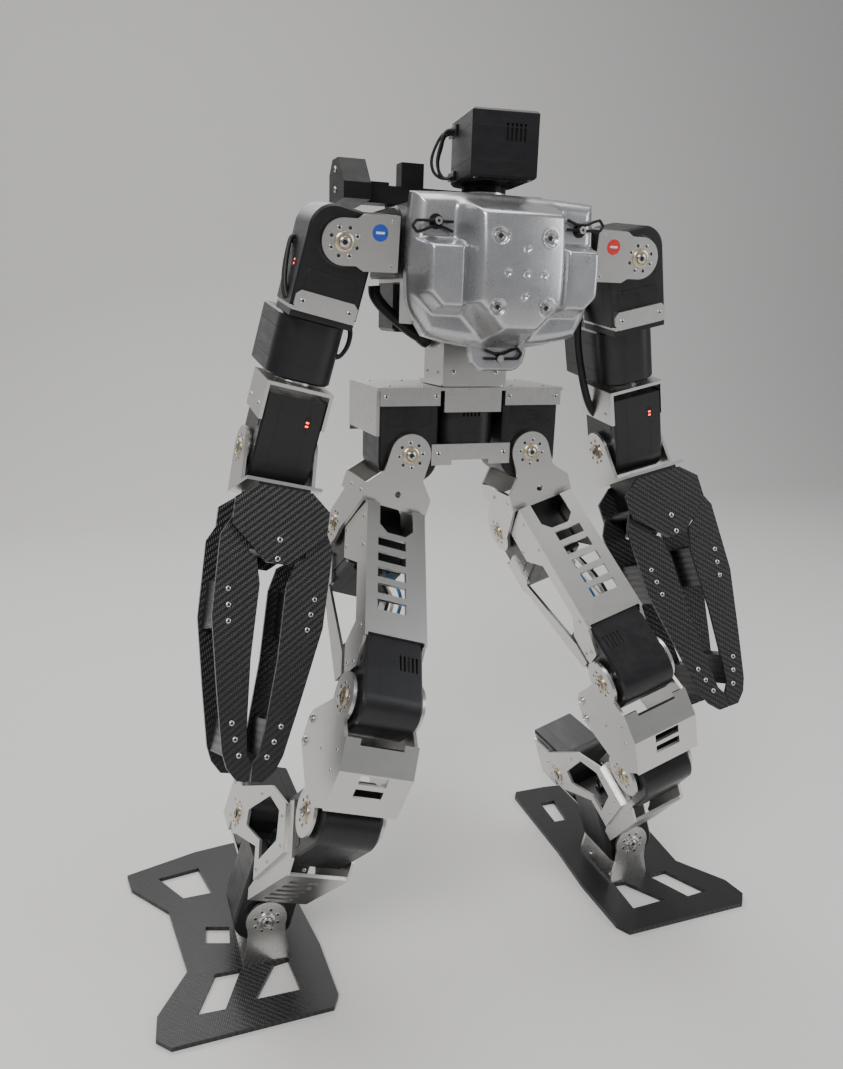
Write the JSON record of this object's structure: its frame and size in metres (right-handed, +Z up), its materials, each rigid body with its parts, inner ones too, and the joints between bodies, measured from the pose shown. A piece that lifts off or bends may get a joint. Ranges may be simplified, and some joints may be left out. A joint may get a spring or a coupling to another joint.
{
  "type": "humanoid robot kit",
  "caption": "Humanoid robot kit: boxy servo joints in silver sheet brackets, silver chest shell, carbon-fibre gripper hands and wide carbon feet, standing with bent knees.",
  "frame": {"origin": "middle of the bounding box, on the floor under the soles", "axes": "+X towards the robot's left, -Y its front, +Z up"},
  "size_m": [0.4312, 0.2196, 0.518],
  "materials": {
    "black_plastic": "satin black moulded plastic",
    "silver_sheet": "satin silver sheet",
    "carbon": "woven carbon fibre plate",
    "silver_paint": "painted silver shell",
    "black_metal": "black painted metal",
    "cable": "matt black"
  },
  "bodies": {
    "pelvis": {"pelvis_frame": "silver_sheet", "pelvis_servos": "black_plastic", "pelvis_strap": "silver_sheet"},
    "torso": {"torso_frame": "silver_sheet", "shoulder_pitch_servos": "black_plastic", "controller_box": "black_plastic", "back_rail": "black_metal", "chest_shell": "silver_paint", "shell_clips": "black_metal", "neck_plate": "black_metal"},
    "head": {"head_servo": "black_plastic", "head_cables": "cable"},
    "left_shoulder": {"left_shoulder_bracket": "silver_sheet"},
    "left_upper_arm": {"left_shoulder_servo": "black_plastic", "left_arm_block": "black_plastic", "left_arm_strap": "silver_sheet", "left_arm_servo": "black_plastic"},
    "left_forearm": {"left_elbow_bracket": "silver_sheet", "left_elbow_servo": "black_plastic"},
    "left_hand": {"left_wrist_bracket": "silver_sheet", "left_gripper_servo": "black_plastic", "left_palm": "carbon"},
    "left_outer_finger": {"left_finger_outer": "carbon"},
    "left_inner_finger": {"left_finger_inner": "carbon"},
    "left_hip": {"left_hip_bracket": "silver_sheet"},
    "left_thigh": {"left_thigh_channel": "silver_sheet", "left_thigh_rod": "silver_sheet", "left_thigh_servos": "black_plastic"},
    "left_knee": {"left_knee_bracket": "silver_sheet"},
    "left_shin": {"left_shin_channel": "silver_sheet", "left_shin_servo": "black_plastic", "left_shin_plates": "silver_sheet"},
    "left_ankle": {"left_ankle_servos": "black_plastic", "left_ankle_bracket": "silver_sheet"},
    "left_foot": {"left_foot_bracket": "silver_sheet", "left_foot_plate": "carbon"},
    "right_shoulder": {"right_shoulder_bracket": "silver_sheet"},
    "right_upper_arm": {"right_shoulder_servo": "black_plastic", "right_arm_block": "black_plastic", "right_arm_strap": "silver_sheet", "right_arm_servo": "black_plastic"},
    "right_forearm": {"right_elbow_bracket": "silver_sheet", "right_elbow_servo": "black_plastic"},
    "right_hand": {"right_wrist_bracket": "silver_sheet", "right_gripper_servo": "black_plastic", "right_palm": "carbon"},
    "right_outer_finger": {"right_finger_outer": "carbon"},
    "right_inner_finger": {"right_finger_inner": "carbon"},
    "right_hip": {"right_hip_bracket": "silver_sheet"},
    "right_thigh": {"right_thigh_channel": "silver_sheet", "right_thigh_rod": "silver_sheet", "right_thigh_servos": "black_plastic"},
    "right_knee": {"right_knee_bracket": "silver_sheet"},
    "right_shin": {"right_shin_channel": "silver_sheet", "right_shin_servo": "black_plastic", "right_shin_plates": "silver_sheet"},
    "right_ankle": {"right_ankle_servos": "black_plastic", "right_ankle_bracket": "silver_sheet"},
    "right_foot": {"right_foot_bracket": "silver_sheet", "right_foot_plate": "carbon"}
  },
  "joints": [
    {"name": "waist_yaw", "type": "hinge", "parent": "pelvis", "child": "torso", "pos_m": [0, 0.00975, 0.36475], "axis": [0, 0, 1], "range_deg": [-10, 10]},
    {"name": "head_pan", "type": "hinge", "parent": "torso", "child": "head", "pos_m": [0.004, -0.00225, 0.478], "axis": [0, 0, 1], "range_deg": [-25, 35]},
    {"name": "left_shoulder_pitch", "type": "hinge", "parent": "torso", "child": "left_shoulder", "pos_m": [0.0911, -0.01815, 0.4478], "axis": [-1, 0, 0], "range_deg": [-30, 85]},
    {"name": "left_shoulder_roll", "type": "hinge", "parent": "left_shoulder", "child": "left_upper_arm", "pos_m": [0.0911, -0.01815, 0.4478], "axis": [0, -0.9925, -0.1219], "range_deg": [-4, 80]},
    {"name": "left_arm_yaw", "type": "hinge", "parent": "left_upper_arm", "child": "left_forearm", "pos_m": [0.1095, -0.00171, 0.37138], "axis": [-0.23, -0.1186, 0.9659], "range_deg": [-10, 40]},
    {"name": "left_elbow", "type": "hinge", "parent": "left_forearm", "child": "left_hand", "pos_m": [0.12009, 0.00374, 0.32695], "axis": [-0.9732, 0.028, -0.2283], "range_deg": [-20, 60]},
    {"name": "left_finger_outer_open", "type": "hinge", "parent": "left_hand", "child": "left_outer_finger", "pos_m": [0.15007, -0.01383, 0.28897], "axis": [-0.108, -0.932, 0.3459], "range_deg": [0, 10]},
    {"name": "left_finger_inner_open", "type": "hinge", "parent": "left_hand", "child": "left_inner_finger", "pos_m": [0.1092, -0.01265, 0.27938], "axis": [0.108, 0.932, -0.3459], "range_deg": [0, 10]},
    {"name": "left_hip_roll", "type": "hinge", "parent": "pelvis", "child": "left_hip", "pos_m": [0.04066, 0.00975, 0.32625], "axis": [0, -1, 0], "range_deg": [-10, 5]},
    {"name": "left_hip_pitch", "type": "hinge", "parent": "left_hip", "child": "left_thigh", "pos_m": [0.05843, 0.02415, 0.27156], "axis": [0.9511, 0, 0.309], "range_deg": [0, 28]},
    {"name": "left_knee_upper", "type": "hinge", "parent": "left_thigh", "child": "left_knee", "pos_m": [0.0813, -0.08265, 0.20119], "axis": [0.9511, 0, 0.309], "range_deg": [-20, 12]},
    {"name": "left_knee_lower", "type": "hinge", "parent": "left_knee", "child": "left_shin", "pos_m": [0.10262, -0.08265, 0.13556], "axis": [0.9511, 0, 0.309], "range_deg": [-18, 12]},
    {"name": "left_ankle_pitch", "type": "hinge", "parent": "left_shin", "child": "left_ankle", "pos_m": [0.12348, 0.02975, 0.07137], "axis": [0.9511, 0, 0.309], "range_deg": [-8, 8]},
    {"name": "left_ankle_roll", "type": "hinge", "parent": "left_ankle", "child": "left_foot", "pos_m": [0.13556, -0.00575, 0.03418], "axis": [0, -1, 0], "range_deg": [-12, 12]},
    {"name": "right_shoulder_pitch", "type": "hinge", "parent": "torso", "child": "right_shoulder", "pos_m": [-0.0911, -0.01815, 0.4478], "axis": [-1, 0, 0], "range_deg": [-30, 85]},
    {"name": "right_shoulder_roll", "type": "hinge", "parent": "right_shoulder", "child": "right_upper_arm", "pos_m": [-0.0911, -0.01815, 0.4478], "axis": [0, 0.9925, 0.1219], "range_deg": [-4, 80]},
    {"name": "right_arm_yaw", "type": "hinge", "parent": "right_upper_arm", "child": "right_forearm", "pos_m": [-0.1095, -0.00171, 0.37138], "axis": [-0.23, 0.1186, -0.9659], "range_deg": [-10, 40]},
    {"name": "right_elbow", "type": "hinge", "parent": "right_forearm", "child": "right_hand", "pos_m": [-0.12009, 0.00374, 0.32695], "axis": [-0.9732, -0.028, 0.2283], "range_deg": [-20, 60]},
    {"name": "right_finger_outer_open", "type": "hinge", "parent": "right_hand", "child": "right_outer_finger", "pos_m": [-0.15007, -0.01383, 0.28897], "axis": [-0.108, 0.932, -0.3459], "range_deg": [0, 10]},
    {"name": "right_finger_inner_open", "type": "hinge", "parent": "right_hand", "child": "right_inner_finger", "pos_m": [-0.1092, -0.01265, 0.27938], "axis": [0.108, -0.932, 0.3459], "range_deg": [0, 10]},
    {"name": "right_hip_roll", "type": "hinge", "parent": "pelvis", "child": "right_hip", "pos_m": [-0.04066, 0.00975, 0.32625], "axis": [0, 1, 0], "range_deg": [-10, 5]},
    {"name": "right_hip_pitch", "type": "hinge", "parent": "right_hip", "child": "right_thigh", "pos_m": [-0.05843, 0.02415, 0.27156], "axis": [0.9511, 0, -0.309], "range_deg": [0, 28]},
    {"name": "right_knee_upper", "type": "hinge", "parent": "right_thigh", "child": "right_knee", "pos_m": [-0.0813, -0.08265, 0.20119], "axis": [0.9511, 0, -0.309], "range_deg": [-20, 12]},
    {"name": "right_knee_lower", "type": "hinge", "parent": "right_knee", "child": "right_shin", "pos_m": [-0.10262, -0.08265, 0.13556], "axis": [0.9511, 0, -0.309], "range_deg": [-18, 12]},
    {"name": "right_ankle_pitch", "type": "hinge", "parent": "right_shin", "child": "right_ankle", "pos_m": [-0.12348, 0.02975, 0.07137], "axis": [0.9511, 0, -0.309], "range_deg": [-8, 8]},
    {"name": "right_ankle_roll", "type": "hinge", "parent": "right_ankle", "child": "right_foot", "pos_m": [-0.13556, -0.00575, 0.03418], "axis": [0, 1, 0], "range_deg": [-12, 12]}
  ],
  "couplings": [
    {"joint": "left_finger_inner_open", "follows": "left_finger_outer_open", "ratio": 1},
    {"joint": "right_finger_inner_open", "follows": "right_finger_outer_open", "ratio": 1}
  ]
}
